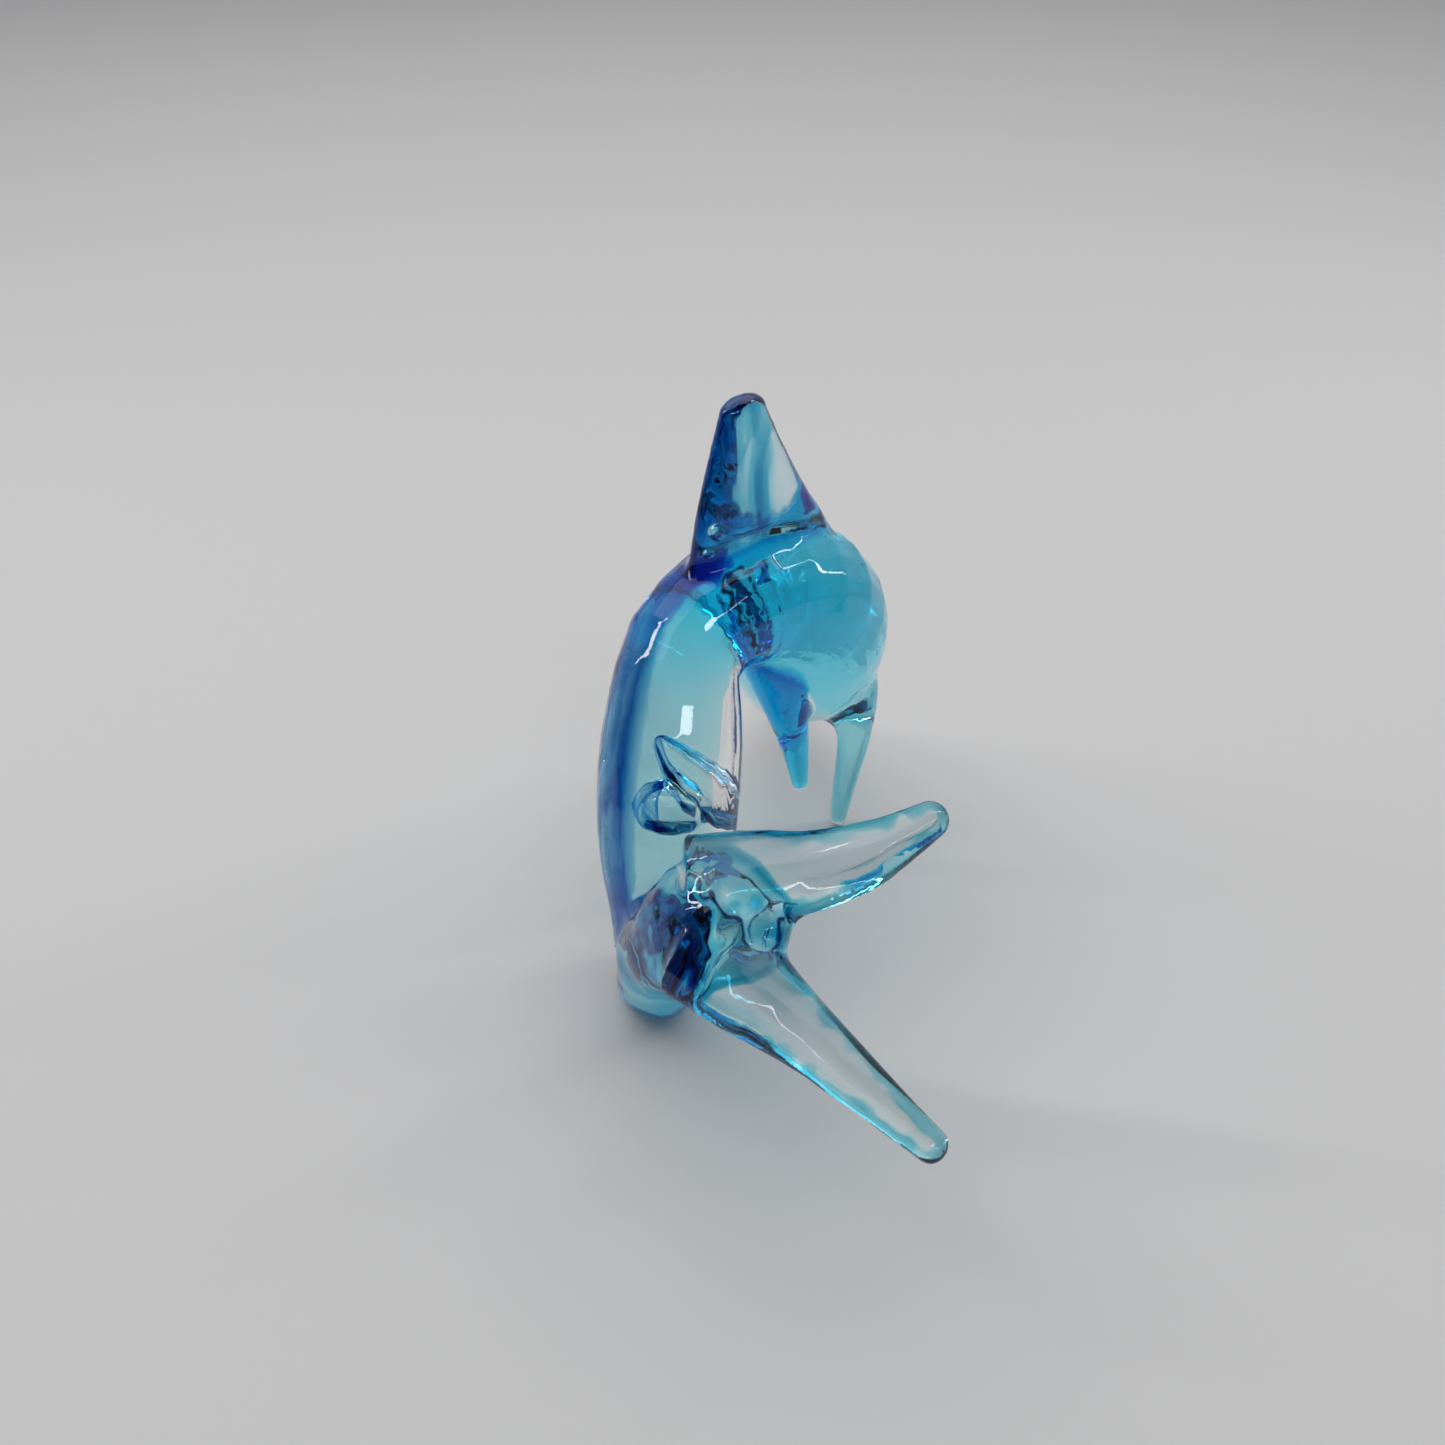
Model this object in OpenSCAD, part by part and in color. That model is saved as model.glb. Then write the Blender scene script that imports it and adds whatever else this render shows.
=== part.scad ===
// Cased glass dolphin, leaping: it stands on a flat polished foot under the bend of its tail,
// on the tip of its right pectoral fin and on its beak.
// Frame: the origin is the middle of the figure's footprint on the table, +Z is up, and the
// body runs from the flukes at -Y over the arch of the back to the beak at +Y.

/* [Figure] */
// Height of the dorsal fin's tip above the table
figure_h = 124; // [90:1:180]
// Size of the coloured cores inside the clear glass
core_share = 1; // [0.6:0.05:1.1]
// Section points between the core's widest line and the edge of the cobalt along its back
cobalt_edge = 1; // [1:1:5]
// Share of the core's radius that the cobalt takes
cobalt_share = 0.12; // [0.08:0.01:0.3]

/* [Fins] */
// Sweep of the dorsal fin's tip toward the tail
dorsal_sweep = 2.5; // [0:0.5:8]

/* [Smoothness] */
// Points round each section
section_points = 24; // [16:4:48]
// Sections between two stations
section_steps = 3; // [2:1:8]
// Sections in each rounded end
end_steps = 5; // [3:1:8]

/* [Hidden] */

DESIGN_H = 124;
figure_scale = figure_h / DESIGN_H;
FOOTPRINT_MIDDLE = [19.7, 10.2, 0];
END_ANGLE = 86;
CLEAR = [0.86, 0.93, 0.96, 0.4];
AQUA = [0.08, 0.6, 0.78];
COBALT = [0.08, 0.16, 0.6];

// Columns of a station: middle x, y, z; half width; half depth; then the core's shift across
// and toward the back, its half width and its half depth.
DEPTH = 4;
CORE = 5;

// Spine from the beak, over the back, down to the foot and up into the flukes.
SPINE = [
    [30, 103, 3.6, 3.6, 3.3, 0, 0, 1, 1],
    [30.5, 96, 10, 4.8, 4.4, 0, 0, 1, 1],
    [31, 89, 17, 7.5, 7, 0, 0, 2, 2],
    [31.5, 81.5, 26, 12.8, 12.5, 0, 2, 7, 3],
    [32, 71, 40, 17.8, 17.6, 0, 4, 13.5, 9],
    [32.4, 59.5, 55, 20.3, 20.4, 0, 3, 16, 14.5],
    [29.3, 51.2, 68.8, 19.5, 19.3, 0, 2, 15.3, 15],
    [17.3, 40, 76.7, 15.8, 15.2, 0, 1.5, 11.5, 11.3],
    [4, 28, 71.6, 13.4, 13, 0, 1.5, 9.5, 9],
    [1.2, 14, 56, 15.8, 15.5, 0, 3, 9.5, 9],
    [0, 3.5, 38.5, 15.6, 15.2, 0, 3, 9.5, 8],
    [0, -2.8, 22, 14, 12, 0, 1.5, 8.5, 6.5],
    [-2, -3.6, 5.4, 10.5, 9.8, 0, 1, 6.5, 5],
    [-2.5, -11.5, 8.8, 9.6, 9, 0, 0, 5.5, 5],
    [-2, -20.6, 24.5, 9, 7.8, 0, 0, 5, 4.5],
    [1, -30, 36, 10, 7.5, 0, 0, 5.5, 4],
    [5, -36, 47, 13, 7, 0, 0, 7, 3.5],
    [12, -40, 52.5, 14, 6.5, 0, 0, 8, 3],
    [20, -43.5, 52.5, 9.5, 5, 0, 0, 4, 1.5]
];
FOOT = 12;
LAST = len(SPINE) - 1;
BODY_CORE_TIP = 3;
TAIL_CORE_TIP = 17;

// Direction of the width at the body and at the flukes, which the tail turns between.
BODY_SIDE = [-0.85, 0.52, 0];
FLUKE_SIDE = [0.07, 0.83, 0.55];
TURN_START = 12;
TURN_END = 17;

// Fins and flukes run from the free tip to the root inside the glass they are joined to.
DORSAL = [
    [19 - dorsal_sweep, 43, 120.5, 6, 3.5, -1.5, 0, 3, 1.6],
    [19 - 0.7 * dorsal_sweep, 43, 108, 11.5, 4.5, -4, 0, 5, 2.4],
    [19 - 0.2 * dorsal_sweep, 43, 95, 17, 6, -7, 0, 6.5, 3.2],
    [20.5, 44, 82, 22, 9, -8, 0, 8, 5]
];
DORSAL_SIDE = [0.75, 0.66, 0];

LEFT_PECTORAL = [
    [31.4, 40, 24, 2.2, 2.3, 0, 0, 1.5, 1.5],
    [29.9, 38.8, 35, 3.4, 3.4, 0, 0, 2.6, 2.4],
    [28, 38.6, 45, 5, 4.6, 0, 0, 4, 3.4],
    [25.8, 41, 57, 8.6, 6.6, 0, 0, 6.8, 5],
    [24.5, 44, 66, 11.5, 8, 0, 0, 9, 6]
];
LEFT_PECTORAL_SIDE = [0.9, 0.2, 0];

RIGHT_PECTORAL = [
    [42.7, 52, 2.4, 2.2, 2.3, 0, 0, 1.2, 1.2],
    [43.9, 53, 13, 3.1, 3, 0, 0, 2.1, 2],
    [45.7, 55, 25, 4.5, 4, 0, 0, 3.3, 2.8],
    [46, 57, 38, 7, 5, 0, 0, 5.2, 3.6],
    [43, 59, 51, 9, 6, 0, 0, 6.5, 4.2]
];
RIGHT_PECTORAL_SIDE = [0.5, 0.8, 0];

LEFT_FLUKE = [
    [48, -83, 41.5, 3, 3, 0, 0, 2, 1.7],
    [38, -73, 43.8, 4.7, 3.6, 0, 0, 3.4, 2],
    [26.4, -61, 45.7, 6.8, 4.6, 0, 0, 5, 2.3],
    [16, -50.5, 47.2, 9.6, 5.8, 0, 0, 6.8, 2.8],
    [7, -42, 48.5, 11, 6.5, 0, 0, 7.5, 3.2]
];

RIGHT_FLUKE = [
    [51.5, -32, 71.5, 3.8, 3.4, 0, 0, 2.5, 2],
    [41.5, -35, 66.5, 6, 4.5, 0, 0, 4.3, 2.2],
    [29, -35, 61, 8, 5, 0, 0, 5.8, 2.4],
    [17, -32.5, 57.5, 9.5, 6, 0, 0, 6.8, 2.8],
    [7, -32, 54, 11, 6.5, 0, 0, 7.5, 3.2]
];
FLUKE_FACE = [-0.35, -0.55, 0.76];
LEFT_FLUKE_SIDE = cross(FLUKE_FACE, middle(LEFT_FLUKE[0]) - middle(LEFT_FLUKE[4]));
RIGHT_FLUKE_SIDE = cross(FLUKE_FACE, middle(RIGHT_FLUKE[0]) - middle(RIGHT_FLUKE[4]));

function unit(v) = v / norm(v);
function middle(row) = [row.x, row.y, row.z];
function reverse(list) = [for (i = [len(list) - 1 : -1 : 0]) list[i]];

// A station table read at any place along it, by a Catmull-Rom curve.
function station(table, t) =
    let (last = len(table) - 1,
        i = min(floor(t), last - 1),
        u = t - i,
        b = table[i],
        c = table[i + 1],
        a = i > 0 ? table[i - 1] : 2 * b - c,
        d = i + 2 <= last ? table[i + 2] : 2 * c - b)
    (2 * b + (c - a) * u + (2 * a - 5 * b + 4 * c - d) * u ^ 2
        + (3 * b - a - 3 * c + d) * u ^ 3) / 2;

function heading(table, t, gap = 0.001) =
    unit(middle(station(table, min(t + gap, len(table) - 1)))
        - middle(station(table, max(t - gap, 0))));

// The width's direction, square to the way the glass runs.
function square_to(side, along) = unit(side - (side * along) * along);

function spine_side(t) =
    let (turn = min(max((t - TURN_START) / (TURN_END - TURN_START), 0), 1))
    BODY_SIDE * (1 - turn) + FLUKE_SIDE * turn;

// One section: its points lie on an ellipse, never under the table. Each entry of the path
// holds a point's number round the ellipse and its share of the radius.
function section(mid, across, back, half_width, half_depth, turn, path) = [
    for (step = path)
        let (a = turn * step[0] * 360 / section_points,
            p = mid + step[1] * (half_width * cos(a) * across + half_depth * sin(a) * back))
        [p.x, p.y, max(p.z, 0)]
];
function arc(first, last, share) = [for (k = [first : last]) [k, share]];
FIRST = cobalt_edge;
SECOND = section_points / 2 - cobalt_edge;
INNER = 1 - cobalt_share;
ALL_ROUND = arc(0, section_points - 1, 1);
COBALT_LAYER = concat(arc(FIRST, SECOND, 1), reverse(arc(FIRST, SECOND, INNER)));
AQUA_REST = concat(arc(FIRST, SECOND, INNER), arc(SECOND, section_points + FIRST, 1));

// The section at t, shrunk to a share of its size and moved ahead along the glass, of the
// clear skin or of the colour inside it.
function section_at(table, t, side, core, turn, path, share = 1, ahead = 0) =
    let (row = station(table, t),
        along = heading(table, t),
        across = square_to(is_undef(side) ? spine_side(t) : side, along),
        back = cross(across, along),
        shift = core ? row[CORE] * across + row[CORE + 1] * back : [0, 0, 0],
        width = core ? core_share * row[CORE + 2] : row[DEPTH - 1],
        depth = core ? core_share * row[CORE + 3] : row[DEPTH])
    section(middle(row) + ahead * along + shift, across, back,
        share * width, share * depth, turn, path);

// Sections from a rounded tip to the joint. The rounding is as long as the tip is deep.
function sections(table, tip, joint, side, core = false, path = ALL_ROUND) =
    let (turn = joint > tip ? 1 : -1,
        steps = round(abs(joint - tip) * section_steps),
        row = station(table, tip),
        length = core ? core_share * row[CORE + 3] : row[DEPTH])
    concat(
        [for (k = [end_steps : -1 : 1])
            let (a = END_ANGLE * k / end_steps)
            section_at(table, tip, side, core, turn, path, cos(a), -turn * length * sin(a))],
        [for (k = [0 : steps])
            section_at(table, tip + (joint - tip) * k / steps, side, core, turn, path)]);

// A closed solid through a list of sections.
module skin(rings) {
    n = len(rings);
    m = len(rings[0]);
    scale(figure_scale) translate(-FOOTPRINT_MIDDLE) polyhedron([for (ring = rings) each ring], concat(
        [[for (k = [m - 1 : -1 : 0]) k]],
        [for (i = [0 : n - 2]) for (k = [0 : m - 1])
            let (a = i * m + k, b = i * m + (k + 1) % m)
            each [[a, b, b + m], [a, b + m, a + m]]],
        [[for (k = [0 : m - 1]) (n - 1) * m + k]]));
}

// The outer shape alone.
module whole(table, tip, joint, side) {
    skin(sections(table, tip, joint, side));
}

// Clear glass with the room for its core, which is open at the joint.
module casing(table, tip, joint, core_tip, side) {
    skin(concat(sections(table, tip, joint, side),
        reverse(sections(table, core_tip, joint, side, true))));
}

// What is joined on hot is cut to the body and tail that it sits against.
module joined_on() {
    resize([0, 0, 0]) difference() {
        children();
        whole(SPINE, 0, FOOT);
        whole(SPINE, LAST, FOOT);
    }
}

module fin(table, side) {
    joined_on() casing(table, 0, len(table) - 1, 0, side);
}

module fin_core(table, side) {
    joined_on() skin(sections(table, 0, len(table) - 1, side, true));
}

// The right lobe also gives way to the left one where the two meet at the notch.
module beside_left_fluke() {
    resize([0, 0, 0]) difference() {
        children();
        whole(LEFT_FLUKE, 0, len(LEFT_FLUKE) - 1, LEFT_FLUKE_SIDE);
    }
}

module body_casing() {
    color(CLEAR) casing(SPINE, 0, FOOT, BODY_CORE_TIP);
}

module body_core() {
    color(AQUA) skin(sections(SPINE, BODY_CORE_TIP, FOOT, undef, true, AQUA_REST));
}

module body_cobalt() {
    color(COBALT) skin(sections(SPINE, BODY_CORE_TIP, FOOT, undef, true, COBALT_LAYER));
}

module tail_casing() {
    color(CLEAR) casing(SPINE, LAST, FOOT, TAIL_CORE_TIP);
}

module tail_core() {
    color(AQUA) skin(sections(SPINE, TAIL_CORE_TIP, FOOT, undef, true));
}

module dorsal_fin() {
    color(CLEAR) fin(DORSAL, DORSAL_SIDE);
}

module dorsal_core() {
    color(COBALT) fin_core(DORSAL, DORSAL_SIDE);
}

module left_pectoral_fin() {
    color(CLEAR) fin(LEFT_PECTORAL, LEFT_PECTORAL_SIDE);
}

module left_pectoral_core() {
    color(AQUA) fin_core(LEFT_PECTORAL, LEFT_PECTORAL_SIDE);
}

module right_pectoral_fin() {
    color(CLEAR) fin(RIGHT_PECTORAL, RIGHT_PECTORAL_SIDE);
}

module right_pectoral_core() {
    color(AQUA) fin_core(RIGHT_PECTORAL, RIGHT_PECTORAL_SIDE);
}

module left_fluke() {
    color(CLEAR) fin(LEFT_FLUKE, LEFT_FLUKE_SIDE);
}

module left_fluke_core() {
    color(AQUA) fin_core(LEFT_FLUKE, LEFT_FLUKE_SIDE);
}

module right_fluke() {
    color(CLEAR) beside_left_fluke() fin(RIGHT_FLUKE, RIGHT_FLUKE_SIDE);
}

module right_fluke_core() {
    color(AQUA) beside_left_fluke() fin_core(RIGHT_FLUKE, RIGHT_FLUKE_SIDE);
}

body_casing();
body_core();
body_cobalt();
tail_casing();
tail_core();
dorsal_fin();
dorsal_core();
left_pectoral_fin();
left_pectoral_core();
right_pectoral_fin();
right_pectoral_core();
left_fluke();
left_fluke_core();
right_fluke();
right_fluke_core();
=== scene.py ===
"""Looks of the cased glass dolphin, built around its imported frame.

The clear casings become one outer skin, filled where hot pieces melt together, and the skin is
split back into one piece per casing. Inside it lie the colours: solid in the body and in the left
pectoral fin, and hollow layers of uneven thickness under the skin elsewhere. Lengths are in metres.
"""
import math

import bpy
import numpy as np
import openvdb as vdb
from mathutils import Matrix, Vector, noise
from mathutils.bvhtree import BVHTree


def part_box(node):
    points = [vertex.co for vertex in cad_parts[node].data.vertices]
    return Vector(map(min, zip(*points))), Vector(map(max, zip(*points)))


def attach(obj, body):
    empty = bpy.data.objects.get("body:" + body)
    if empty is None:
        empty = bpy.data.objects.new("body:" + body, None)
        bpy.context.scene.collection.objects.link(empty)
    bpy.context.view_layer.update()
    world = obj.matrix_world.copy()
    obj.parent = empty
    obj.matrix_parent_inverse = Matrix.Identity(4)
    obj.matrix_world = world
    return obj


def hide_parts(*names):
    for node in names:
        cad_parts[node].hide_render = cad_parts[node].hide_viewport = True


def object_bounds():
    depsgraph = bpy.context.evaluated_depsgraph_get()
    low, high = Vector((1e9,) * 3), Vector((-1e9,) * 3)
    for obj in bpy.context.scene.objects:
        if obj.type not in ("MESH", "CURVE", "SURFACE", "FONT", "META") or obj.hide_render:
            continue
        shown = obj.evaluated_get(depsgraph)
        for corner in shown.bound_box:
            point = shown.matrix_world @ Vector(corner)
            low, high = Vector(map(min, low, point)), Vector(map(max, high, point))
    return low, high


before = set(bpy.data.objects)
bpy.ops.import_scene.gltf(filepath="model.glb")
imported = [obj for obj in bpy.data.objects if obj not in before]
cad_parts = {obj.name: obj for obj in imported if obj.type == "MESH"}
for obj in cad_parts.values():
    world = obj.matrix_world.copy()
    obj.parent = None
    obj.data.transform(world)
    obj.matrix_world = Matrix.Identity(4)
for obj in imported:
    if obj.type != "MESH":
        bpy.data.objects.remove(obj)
CAD_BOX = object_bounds()

# ---------------------------------------------------------------- sizes

VOXEL = 0.0007
# balls that fill the hollows of the skin, and of the colour in the body
SKIN_FILLET = 0.0038
CORE_FILLET = 0.0045
# voxels kept beyond the wider ball
SPARE = 3
# depth below a filled surface that is still measured
DEEPEST = 0.0075
# the difference of two distances changes faster than a distance does, so it is scaled down
DIFFERENCE = 0.7

# rounds of smoothing, and of blurring a value over the skin
SKIN_ROUNDS = 6
SOLID_ROUNDS = 5
LAYER_ROUNDS = 3
BLUR_ROUNDS = 12

# each limb: its casing first, then its colours
LIMBS = {
    "body": ("body_casing", "body_core", "body_cobalt"),
    "tail": ("tail_casing", "tail_core"),
    "dorsal": ("dorsal_fin", "dorsal_core"),
    "left_pectoral": ("left_pectoral_fin", "left_pectoral_core"),
    "right_pectoral": ("right_pectoral_fin", "right_pectoral_core"),
    "left_fluke": ("left_fluke", "left_fluke_core"),
    "right_fluke": ("right_fluke", "right_fluke_core"),
}
CASINGS = tuple(nodes[0] for nodes in LIMBS.values())

# soft waves left by the tools: their length, and their height on each casing
WAVE = 0.009
WAVE_HEIGHT = {"body_casing": 0.00005, "tail_casing": 0.00045, "dorsal_fin": 0.00016,
               "left_pectoral_fin": 0.00005, "right_pectoral_fin": 0.00008,
               "left_fluke": 0.00028, "right_fluke": 0.0003}

# fine threads from drawing the hot glass out: way, width and height, and how far they are drawn out
THREADS = {"left_fluke": ((0.7, -0.7, -0.1), 0.0034, 0.00024),
           "right_fluke": ((0.93, 0, 0.37), 0.0034, 0.00024),
           "dorsal_fin": ((0, 0, 1), 0.0026, 0.00014),
           "tail_casing": ((0, -0.6, 0.8), 0.0034, 0.00024),
           "body_casing": ((0, 0.3, 0.95), 0.0050, 0.00006)}
DRAWN = 0.85

# air bubbles: place as shares of the casing's box, long axis, length, radius, and how pear-shaped. The
# dorsal fin's two are bubbles in the glass; the body's two are air drops put in for a reflection of the
# tail's root on the body's back, a painted reflection
BUBBLES_AND_REFLECTION_DROPS = {"body_casing": (((0.238, 0.167, 0.490), (0.6, 0.1, 0.5), 0.012, 0.0062, 0.1),
                           ((0.311, 0.183, 0.544), (0.5, 0.0, -0.86), 0.027, 0.0050, 0.3)),
           "dorsal_fin": (((0.198, 0.156, 0.293), (0, 0, 1), 0.0042, 0.0021, 0),
                          ((0.137, 0.223, 0.139), (0, 0, 1), 0.0022, 0.0011, 0))}
BUBBLE_RINGS = 48
BUBBLE_SIDES = 64
# angle from the axis at which a bubble's first ring lies
BUBBLE_POLE = 0.02

# depth of each colour layer under the skin, its least thickness, and its inner edge's set-back
LAYER_DEPTH = {"left_fluke": 0.0007, "right_fluke": 0.0007, "right_pectoral": 0.0008,
               "dorsal": 0.0008, "body": 0.0012, "tail": 0.0016}
FILM = 0.0001
SET_BACK = 0.0009
# least clear glass over the solid colour, and how far the left pectoral's colour runs into the body
SOLID_DEPTH = 0.0006
RUN_IN = 0.003

# ---------------------------------------------------------------- colours

CLEAR_INDEX = 1.5
# light taken per metre of coloured glass: red, green, blue
ABSORBED = {"body_aqua": (28, 4, 1), "limb_aqua": (430, 105, 62), "tail_aqua": (560, 120, 50),
            "fin_blue": (520, 140, 66), "pectoral_blue": (1000, 130, 30),
            "pale_aqua": (420, 90, 46), "cobalt": (400, 170, 55)}

# tint of the body's colour by height along a line that leans toward the head
LEAN = (0, 0.59, 0.81)
REAR_TINT = ((0.0, (0.86, 0.96, 0.97)), (0.03, (0.78, 0.94, 0.95)), (0.055, (0.62, 0.88, 0.93)),
             (0.075, (0.30, 0.72, 0.90)), (0.095, (0.10, 0.50, 0.85)))
HEAD_TINT = ((0.038, (1.0, 1.0, 1.0)), (0.050, (0.80, 0.96, 0.99)), (0.062, (0.36, 0.88, 0.99)),
             (0.075, (0.12, 0.83, 1.0)), (0.092, (0.06, 0.74, 1.0)), (0.104, (0.09, 0.42, 0.96)))
# where along Y the rear tint gives way to the head's, and where that fades out toward the beak
REAR_TO_HEAD = (0.0, 0.02)
HEAD_TO_CLEAR = (0.050, 0.078)


# ---------------------------------------------------------------- level sets

def lattice():
    """First voxel and voxel count of the array that holds the whole figure."""
    pad = SKIN_FILLET + CORE_FILLET + SPARE * VOXEL
    first = np.floor((np.array(CAD_BOX[0]) - pad) / VOXEL).astype(int)
    last = np.ceil((np.array(CAD_BOX[1]) + pad) / VOXEL).astype(int)
    return tuple(first.tolist()), tuple((last - first + 1).tolist())


def arrays(obj):
    """Points and triangles of an object's mesh."""
    me = obj.data
    co = np.empty(len(me.vertices) * 3, np.float32)
    me.vertices.foreach_get("co", co)
    me.calc_loop_triangles()
    tri = np.empty(len(me.loop_triangles) * 3, np.int32)
    me.loop_triangles.foreach_get("vertices", tri)
    return co.reshape(-1, 3), tri.reshape(-1, 3)


def distances(co, tri, reach):
    """Signed distance to a closed mesh on the lattice, cut off at reach."""
    grid = vdb.FloatGrid.createLevelSetFromPolygons(
        co.astype(np.float32), triangles=tri.astype(np.uint32),
        transform=vdb.createLinearTransform(voxelSize=VOXEL), halfWidth=reach / VOXEL)
    field = np.empty(COUNT, np.float32)
    grid.copyToArray(field, ijk=FIRST)
    return field


def surface(field, level=0.0):
    """Quad mesh of a field's surface: biggest shell only, faces outward."""
    grid = vdb.FloatGrid(float(field.max()))
    grid.copyFromArray(field, ijk=FIRST, tolerance=0.0)
    grid.transform = vdb.createLinearTransform(voxelSize=VOXEL)
    grid.gridClass = vdb.GridClass.LEVEL_SET
    out = grid.convertToQuads(level)
    co, quads = biggest_shell(out[0].astype(np.float64), out[-1].astype(np.int64))
    if volume(co, quads) < 0:
        quads = quads[:, ::-1]
    return co, quads


def closed(field, radius):
    """The field with its hollows filled by a ball of that radius, as hot glass fills them."""
    co, quads = surface(field, radius)
    return distances(co, triangles(quads), radius + DEEPEST) + radius


def territory(name):
    """Negative nearer to this limb than to any other."""
    others = np.minimum.reduce([limb[k] for k in LIMBS if k != name])
    return (limb[name] - others) * DIFFERENCE


# ---------------------------------------------------------------- meshes

def volume(co, quads):
    """Above zero where the faces of a closed mesh point outward; only the sign is used."""
    a, b, c = (co[quads[:, k]] for k in range(3))
    return np.einsum("ij,ij->i", a, np.cross(b, c)).sum()


def biggest_shell(co, quads):
    """The connected shell with the most faces."""
    parent = np.arange(len(co))
    a = quads[:, :3].T.ravel()
    b = quads[:, 1:].T.ravel()
    while True:
        low = np.minimum(parent[a], parent[b])
        new = parent.copy()
        np.minimum.at(new, a, low)
        np.minimum.at(new, b, low)
        new = new[new]
        if (new == parent).all():
            break
        parent = new
    root = parent[quads[:, 0]]
    names, count = np.unique(root, return_counts=True)
    return only(co, quads[root == names[count.argmax()]])


def only(co, quads):
    """The faces with just the points that they use."""
    used, inverse = np.unique(quads, return_inverse=True)
    return co[used], inverse.reshape(quads.shape)


def triangles(quads):
    return np.concatenate([quads[:, [0, 1, 2]], quads[:, [0, 2, 3]]])


def neighbours(quads, count):
    """Both ends of every face edge, and how often each point is met."""
    a = quads.ravel()
    b = np.roll(quads, -1, axis=1).ravel()
    return a, b, np.bincount(a, minlength=count) + np.bincount(b, minlength=count)


def summed(values, a, b):
    """Sum of the neighbours' values at each point."""
    return np.bincount(a, values[b], len(values)) + np.bincount(b, values[a], len(values))


def smoothed(co, quads, rounds, share=0.5):
    """Taubin smoothing: steps in, and slightly larger steps back out so that nothing shrinks."""
    a, b, count = neighbours(quads, len(co))
    for step in range(rounds * 2):
        total = np.stack([summed(co[:, k], a, b) for k in range(3)], 1)
        rate = share if step % 2 == 0 else -share * 1.04
        co = co + (total / count[:, None] - co) * rate
    return co


def blurred(values, quads):
    """One value per point, blurred over the mesh."""
    a, b, count = neighbours(quads, len(values))
    for _ in range(BLUR_ROUNDS):
        values = summed(values, a, b) / count
    return values


def point_normals(co, quads):
    tri = triangles(quads)
    face = np.cross(co[tri[:, 1]] - co[tri[:, 0]], co[tri[:, 2]] - co[tri[:, 0]])
    total = np.zeros_like(co)
    for k in range(3):
        for axis in range(3):
            total[:, axis] += np.bincount(tri[:, k], face[:, axis], len(co))
    return total / np.maximum(np.linalg.norm(total, axis=1), 1e-20)[:, None]


def rippled(co, quads, height, size, way=(0, 0, 0)):
    """Points moved along their normals by smooth noise, which may be drawn out along one way."""
    way = np.array(way, float)
    place = (co - DRAWN * (co @ way)[:, None] * way) / size
    wave = np.array([noise.noise(v) for v in place.tolist()])
    return co + point_normals(co, quads) * (wave * height)[:, None]


def join(a, b):
    """Two shells in one mesh, the second one turned inside out as a hollow."""
    return np.concatenate([a[0], b[0]]), np.concatenate([a[1], b[1][:, ::-1] + len(a[0])])


def within(node, shares):
    """The place at these shares of a node's box."""
    lo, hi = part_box(node)
    return np.array([a + (b - a) * share for a, b, share in zip(lo, hi, shares)])


def across(way):
    """Two directions square to a way and to each other, and the way itself."""
    along = Vector(way).normalized()
    one = along.orthogonal().normalized()
    return one, along.cross(one), along


def bubble(centre, axis, length, radius, pear):
    """Air bubble whose quads face inward, wider toward the axis's end where pear is above zero."""
    one, two, along = (np.array(v) for v in across(axis))
    rows = np.linspace(BUBBLE_POLE, math.pi - BUBBLE_POLE, BUBBLE_RINGS)[:, None, None]
    turn = np.linspace(0, 2 * math.pi, BUBBLE_SIDES, endpoint=False)[:, None]
    wide = radius * np.sin(rows) * (1 + pear * np.cos(rows))
    co = 0.5 * length * np.cos(rows) * along + wide * (np.cos(turn) * one + np.sin(turn) * two)
    i, j = np.meshgrid(np.arange(BUBBLE_RINGS - 1), np.arange(BUBBLE_SIDES), indexing="ij")
    k = (j + 1) % BUBBLE_SIDES
    here = i * BUBBLE_SIDES
    below = here + BUBBLE_SIDES
    quads = np.stack([here + j, here + k, below + k, below + j], -1).reshape(-1, 4)
    co = co.reshape(-1, 3)
    if volume(co, quads) > 0:
        quads = quads[:, ::-1]
    return co + centre, quads


def new_piece(name, node, slot, co, faces, material):
    """A smooth mesh that stands for a CAD node, with the given material; the slot is not used."""
    me = bpy.data.meshes.new(name)
    me.from_pydata(co.tolist(), [], faces.tolist())
    me.materials.append(material)
    me.polygons.foreach_set("use_smooth", [True] * len(me.polygons))
    me.update()
    obj = bpy.data.objects.new(name, me)
    bpy.context.scene.collection.objects.link(obj)
    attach(obj, "root")
    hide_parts(node)
    return obj


# ---------------------------------------------------------------- materials

def surface_shader(name):
    """A new material and its Principled shader."""
    m = bpy.data.materials.new(name)
    m.use_nodes = True
    return m, m.node_tree.nodes["Principled BSDF"]


def glass(name, index):
    m, p = surface_shader(name)
    p.inputs["Base Color"].default_value = (1, 1, 1, 1)
    p.inputs["IOR"].default_value = index
    p.inputs["Roughness"].default_value = 0.0
    p.inputs["Transmission Weight"].default_value = 1.0
    return m


def coloured_glass(name):
    """Coloured glass inside clear glass: it bends no light, and absorbs by its thickness."""
    m = glass(name, 1.0)
    v = m.node_tree.nodes.new("ShaderNodeVolumeAbsorption")
    # the darkest channel of the absorption colour stays just above black
    density = max(ABSORBED[name]) / 0.98
    v.inputs["Color"].default_value = (*[1 - taken / density for taken in ABSORBED[name]], 1)
    v.inputs["Density"].default_value = density
    m.node_tree.links.new(v.outputs[0], m.node_tree.nodes["Material Output"].inputs["Volume"])
    return m


def share_between(nt, value, low, high):
    """0 at low and below, 1 at high and above."""
    node = nt.nodes.new("ShaderNodeMapRange")
    node.inputs["From Min"].default_value = low
    node.inputs["From Max"].default_value = high
    nt.links.new(value, node.inputs["Value"])
    return node.outputs[0]


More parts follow.
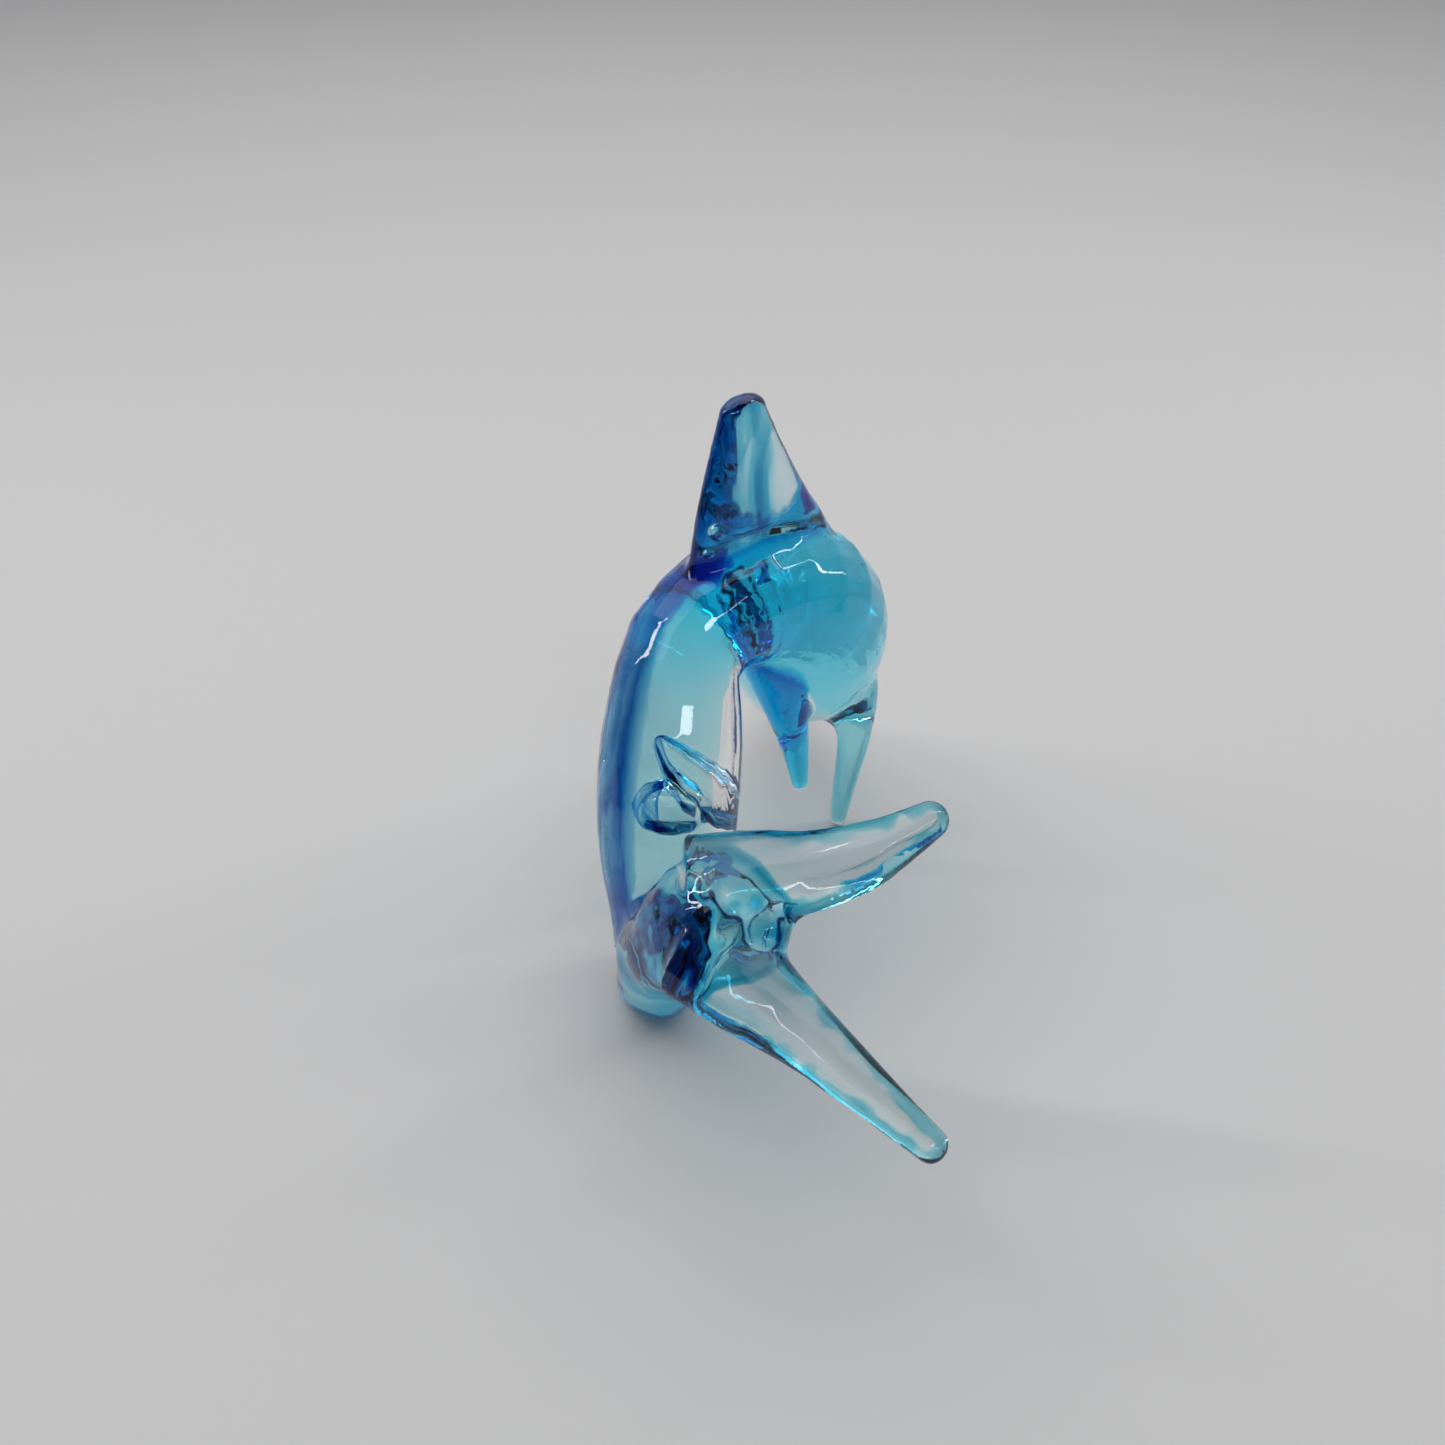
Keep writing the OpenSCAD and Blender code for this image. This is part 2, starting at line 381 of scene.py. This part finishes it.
def ramp(nt, share, stops):
    """Colour by a share from 0 to 1, through (share, colour) stops."""
    node = nt.nodes.new("ShaderNodeValToRGB")
    elements = node.color_ramp.elements
    while len(elements) < len(stops):
        elements.new(0.5)
    for item, (place, colour) in zip(elements, stops):
        item.position = place
        item.color = (*colour, 1)
    nt.links.new(share, node.inputs["Fac"])
    return node.outputs["Color"]


def mixed(nt, share, first, second):
    """From the first colour to the second by share. Each is a socket or a plain colour."""
    node = nt.nodes.new("ShaderNodeMix")
    node.data_type = "RGBA"
    nt.links.new(share, node.inputs["Factor"])
    for name, value in (("A", first), ("B", second)):
        if isinstance(value, tuple):
            node.inputs[name].default_value = (*value, 1)
        else:
            nt.links.new(value, node.inputs[name])
    return next(socket for socket in node.outputs if socket.type == "RGBA")


def tint_by_height(m):
    """The body's tint: deep at the top of the arch, and clear toward the foot and the beak."""
    nt = m.node_tree
    place = nt.nodes.new("ShaderNodeTexCoord").outputs["Object"]
    axes = nt.nodes.new("ShaderNodeSeparateXYZ")
    nt.links.new(place, axes.inputs[0])
    lean = nt.nodes.new("ShaderNodeVectorMath")
    lean.operation = "DOT_PRODUCT"
    lean.inputs[1].default_value = LEAN
    nt.links.new(place, lean.inputs[0])
    tints = []
    for stops in (REAR_TINT, HEAD_TINT):
        top = stops[-1][0]
        share = share_between(nt, lean.outputs["Value"], 0, top)
        tints.append(ramp(nt, share, [(height / top, colour) for height, colour in stops]))
    colour = mixed(nt, share_between(nt, axes.outputs["Y"], *REAR_TO_HEAD), *tints)
    colour = mixed(nt, share_between(nt, axes.outputs["Y"], *HEAD_TO_CLEAR), colour, (1.0, 1.0, 1.0))
    nt.links.new(colour, nt.nodes["Principled BSDF"].inputs["Base Color"])


# ---------------------------------------------------------------- random fields

def eased(at):
    """Whole part of each place, and its fraction with a soft start and end."""
    low = at.astype(int)
    part = at - low
    return low, part * part * (3 - 2 * part)


def cloud(size, seed):
    """Soft random field from 0 to 1 over the lattice, in blobs of this size."""
    value = np.random.default_rng(seed).random([int(n * VOXEL / size) + 3 for n in COUNT]).astype(np.float32)
    for axis in range(3):
        low, part = eased(np.arange(COUNT[axis]) * VOXEL / size)
        part = part.astype(np.float32).reshape(-1, 1, 1)
        value = np.moveaxis(value, axis, 0)
        value = np.moveaxis(value[low] * (1 - part) + value[low + 1] * part, 0, axis)
    return value


def threads(way, size, seed):
    """Soft random field from 0 to 1 whose threads, this wide, run along one way and wander a little."""
    cells = 32
    steps = 8
    wander = 3
    drift_size = 0.016
    table = np.random.default_rng(seed).random((cells, cells)).astype(np.float32)
    low, part = eased(np.arange(cells * steps) / steps)
    high = (low + 1) % cells
    table = table[low] * (1 - part)[:, None] + table[high] * part[:, None]
    table = table[:, low] * (1 - part) + table[:, high] * part
    drift = cloud(drift_size, seed + 1) * wander
    one, two = (((along(v) / size + drift) * steps).astype(int) % (cells * steps) for v in across(way)[:2])
    return table[one, two].astype(np.float32)


# ---------------------------------------------------------------- shapes over the lattice

def along(way, start=(0, 0, 0)):
    """How far each voxel lies along a way, from the start."""
    parts = [(grid_x - start[0])[:, None, None] * way[0], (grid_y - start[1])[None, :, None] * way[1],
             (grid_z - start[2]) * way[2]]
    return parts[0] + parts[1] + parts[2]


def facing(way):
    """1 where the skin faces this way, -1 where it faces the other way."""
    unit = np.array(way) / np.linalg.norm(way)
    return sum(s * u for s, u in zip(slope, unit)) / (np.sqrt(sum(s * s for s in slope)) + 1e-9)


def edge_on(face):
    """0 where the skin faces the same way as a flat limb, 1 at the limb's edges."""
    return 1 - facing(face) ** 2


def shares_at(values, places, shares):
    """The share at each value, read off straight lines between the places."""
    return np.interp(values, places, shares).astype(np.float32)


def clear_skin():
    """The outer skin, with waves and threads, split into a piece for each casing."""
    co, quads = surface(skin)
    co = smoothed(co, quads, SKIN_ROUNDS)
    owner = nearest_casing(co[quads].mean(1))
    height = np.zeros(len(co))
    height[quads] = np.array([WAVE_HEIGHT[name] for name in CASINGS])[owner][:, None]
    co = rippled(co, quads, blurred(height, quads), WAVE)
    for name, (way, size, amount) in THREADS.items():
        height = np.zeros(len(co))
        height[quads[owner == CASINGS.index(name)]] = amount
        co = rippled(co, quads, blurred(height, quads), size, way)
    co[:, 2] = np.maximum(co[:, 2], 0)
    normal = point_normals(co, quads)
    for i, name in enumerate(CASINGS):
        mine = quads[owner == i]
        points, faces = only(co, mine)
        normals = normal[np.unique(mine)]
        # the body's two bubbles stand in for a reflection of the tail's root on the body's back: painted
        # reflection
        for place, *shape in BUBBLES_AND_REFLECTION_DROPS.get(name, ()):
            more, ring = bubble(within(name, place), *shape)
            normals = np.concatenate([normals, point_normals(more, ring)])
            faces = np.concatenate([faces, ring + len(points)])
            points = np.concatenate([points, more])
        obj = new_piece(name + "_glass", name, "clear_glass", points, faces, CLEAR)
        # shared normals keep the seams between the pieces out of sight
        obj.data.normals_split_custom_set_from_vertices(normals.tolist())


def nearest_casing(places):
    """For each place, the number of the CAD casing nearest to it."""
    best = np.full(len(places), np.inf)
    owner = np.zeros(len(places), int)
    for i, name in enumerate(CASINGS):
        co, tri = arrays(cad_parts[name])
        tree = BVHTree.FromPolygons([tuple(p) for p in co.tolist()], tri.tolist())
        dist = np.array([tree.find_nearest(p)[3] for p in places.tolist()])
        near = dist < best - 1e-6
        owner[near] = i
        best[near] = dist[near]
    return owner


def solid(node, field, material):
    """A solid of colour."""
    co, quads = surface(field)
    new_piece(node + "_colour", node, "aqua_glass", smoothed(co, quads, SOLID_ROUNDS), quads, material)


def layer(node, name, thickness, material, slot, region=None):
    """A hollow layer of colour under a limb's skin, of this thickness."""
    depth = LAYER_DEPTH[name]
    region = territory(name) if region is None else region
    outer = surface(np.maximum(skin + depth, region))
    inner = surface(np.maximum(skin + depth + thickness, region + SET_BACK))
    shells = [(smoothed(co, quads, LAYER_ROUNDS), quads) for co, quads in (outer, inner)]
    new_piece(node + "_colour", node, slot, *join(*shells), material)


# ---------------------------------------------------------------- the figure

FIRST, COUNT = lattice()
grid_x, grid_y, grid_z = (((np.arange(count) + first) * VOXEL).astype(np.float32)
                          for first, count in zip(FIRST, COUNT))
CLEAR = glass("clear_glass", CLEAR_INDEX)
COLOUR = {name: coloured_glass(name) for name in ABSORBED}
tint_by_height(COLOUR["body_aqua"])

reach = max(SKIN_FILLET, CORE_FILLET) + SPARE * VOXEL
field = {name: distances(*arrays(node), reach) for name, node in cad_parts.items()}
limb = {name: np.minimum.reduce([field[node] for node in nodes]) for name, nodes in LIMBS.items()}
skin = closed(np.minimum.reduce(list(field.values())), SKIN_FILLET)
slope = np.gradient(skin)
clear_skin()

# the body's colour, and the left pectoral's, which runs up into it
body_colour = np.minimum(field["body_core"], field["body_cobalt"])
colour = closed(np.minimum(body_colour, field["left_pectoral_core"]), CORE_FILLET)
colour = np.maximum(colour, skin + SOLID_DEPTH)
cut = (body_colour - field["left_pectoral_core"]) * DIFFERENCE + RUN_IN
solid("body_core", np.maximum(colour, cut), COLOUR["body_aqua"])
solid("left_pectoral_core", np.maximum(colour, -cut), COLOUR["pectoral_blue"])

# flukes: patchy colour at the edges, which is painted reflection of the coloured root seen inside the clear
# lobes, and threads of colour near the root
FLUKE_FACE = (-0.35, -0.55, 0.76)
FLUKE_ROOT = within("left_fluke", (0.133, 0.953, 0.592))
edge = edge_on(FLUKE_FACE)
# painted reflection: colour thickened where a fluke is seen edge-on, in place of the coloured root's
# reflection inside the clear glass
painted_reflection_rim = 0.0170 * edge ** 2.4 * cloud(0.0028, 1) ** 2
for name in ("left_fluke", "right_fluke"):
    way = THREADS[name][0]
    near_root = shares_at(along(way, FLUKE_ROOT), [0.004, 0.030], [1, 0])
    lines = np.clip(threads(way, 0.0022, 11) - 0.55, 0, 1) / 0.45
    thickness = FILM + painted_reflection_rim + 0.0026 * lines * near_root
    layer(name + "_core", name, thickness, COLOUR["limb_aqua"], "aqua_glass")

# right pectoral: an even layer
layer("right_pectoral_core", "right_pectoral", 0.0012, COLOUR["pale_aqua"], "aqua_glass")

# tail: threads that are thicker at the edges
lines = threads(THREADS["tail_casing"][0], 0.0026, 21)
thickness = 2 * FILM + 0.0040 * lines ** 3 * (0.4 + edge)
layer("tail_core", "tail", thickness, COLOUR["tail_aqua"], "aqua_glass")

# cobalt: strands on the body's left side, which thin out toward the head and the foot
side = np.clip((facing((-1, 0.15, 0.2)) - 0.55) / 0.4, 0, 1)
side = side * shares_at(grid_x, [-0.017, -0.006], [1, 0.04])[:, None, None]
side = side * shares_at(grid_z, [0.012, 0.035], [0.2, 1])
thickness = FILM + 0.0070 * side * threads((0, 0.12, 1), 0.0024, 31) ** 3
left_side = np.maximum(territory("body"), 0.0003 - side * 0.002)
layer("body_cobalt", "body", thickness, COLOUR["cobalt"], "cobalt_glass", left_side)

# dorsal fin: dark threads in its trailing half, and nearly clear in front
FIN_WAY = (0.75, 0.66, 0)
FIN_FACE = (0.66, -0.75, 0)
start, end = (np.dot(corner, FIN_WAY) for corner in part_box("dorsal_fin"))
share = (along(FIN_WAY) - start) / (end - start)
trailing = shares_at(share, [0, 0.46, 0.56, 0.8, 0.9], [1.0, 0.9, 0.0, 0.0, 0.25])
lines = threads((0, 0.1, 1), 0.0020, 41)
thickness = 2 * FILM + 0.0100 * trailing * lines ** 2.5 + 0.0010 * edge_on(FIN_FACE) * lines
layer("dorsal_core", "dorsal", thickness, COLOUR["fin_blue"], "cobalt_glass")

# ---------------------------------------------------------------- floor, camera and light

scene = bpy.context.scene
scene.view_settings.view_transform = "Standard"
scene.cycles.max_bounces = 32
scene.cycles.transmission_bounces = 32
scene.cycles.glossy_bounces = 12
scene.cycles.transparent_max_bounces = 32

FLOOR_REACH = 4
AIM = (0, 0, 0.05)
# place, width and height, and watts of each light
LIGHTS = {"softbox": ((-0.1, 0.45, 1.2), (1.8, 1.4), 8.3),
          "strip_left": ((-0.55, 0.1, 0.55), (0.03, 0.5), 0.65),
          "strip_right": ((0.6, 0.25, 0.5), (0.03, 0.5), 0.65),
          "strip_front": ((0.2, -0.6, 0.75), (0.5, 0.03), 0.55)}


def paper():
    m, p = surface_shader("paper")
    p.inputs["Base Color"].default_value = (0.80, 0.79, 0.785, 1)
    p.inputs["Roughness"].default_value = 0.6
    p.inputs["Specular IOR Level"].default_value = 0.2
    return m


def light(name, place, size, watts):
    data = bpy.data.lights.new(name, "AREA")
    data.shape = "RECTANGLE"
    data.size, data.size_y = size
    data.energy = watts
    obj = bpy.data.objects.new(name, data)
    obj.location = place
    obj.rotation_euler = (Vector(AIM) - Vector(place)).to_track_quat("-Z", "Y").to_euler()
    scene.collection.objects.link(obj)


def room():
    """World light: bright above and beyond the figure's head, dark on the side of its tail."""
    world = bpy.data.worlds.new("room")
    world.use_nodes = True
    scene.world = world
    nt = world.node_tree
    axes = nt.nodes.new("ShaderNodeSeparateXYZ")
    nt.links.new(nt.nodes.new("ShaderNodeTexCoord").outputs["Generated"], axes.inputs[0])
    share = share_between(nt, axes.outputs["Y"], -1, 1)
    colour = ramp(nt, share, [(0.42, (0.05, 0.055, 0.06)), (0.75, (0.60, 0.61, 0.63))])
    back = nt.nodes["Background"]
    nt.links.new(colour, back.inputs[0])
    back.inputs[1].default_value = 0.8


me = bpy.data.meshes.new("floor")
corners = [(x * FLOOR_REACH, y * FLOOR_REACH, 0) for x, y in ((-1, -1), (1, -1), (1, 1), (-1, 1))]
me.from_pydata(corners, [], [(0, 1, 2, 3)])
me.materials.append(paper())
floor = bpy.data.objects.new("floor", me)
scene.collection.objects.link(floor)

camera = bpy.data.objects.new("camera", bpy.data.cameras.new("camera"))
camera.data.lens = 36
camera.data.sensor_width = 36
camera.data.sensor_fit = "HORIZONTAL"
camera.data.clip_start = 0.01
camera.location = (-0.0074, -0.2513, 0.246)
camera.rotation_euler = (math.radians(54), 0, 0)
scene.collection.objects.link(camera)
scene.camera = camera

room()
for name, values in LIGHTS.items():
    light(name, *values)
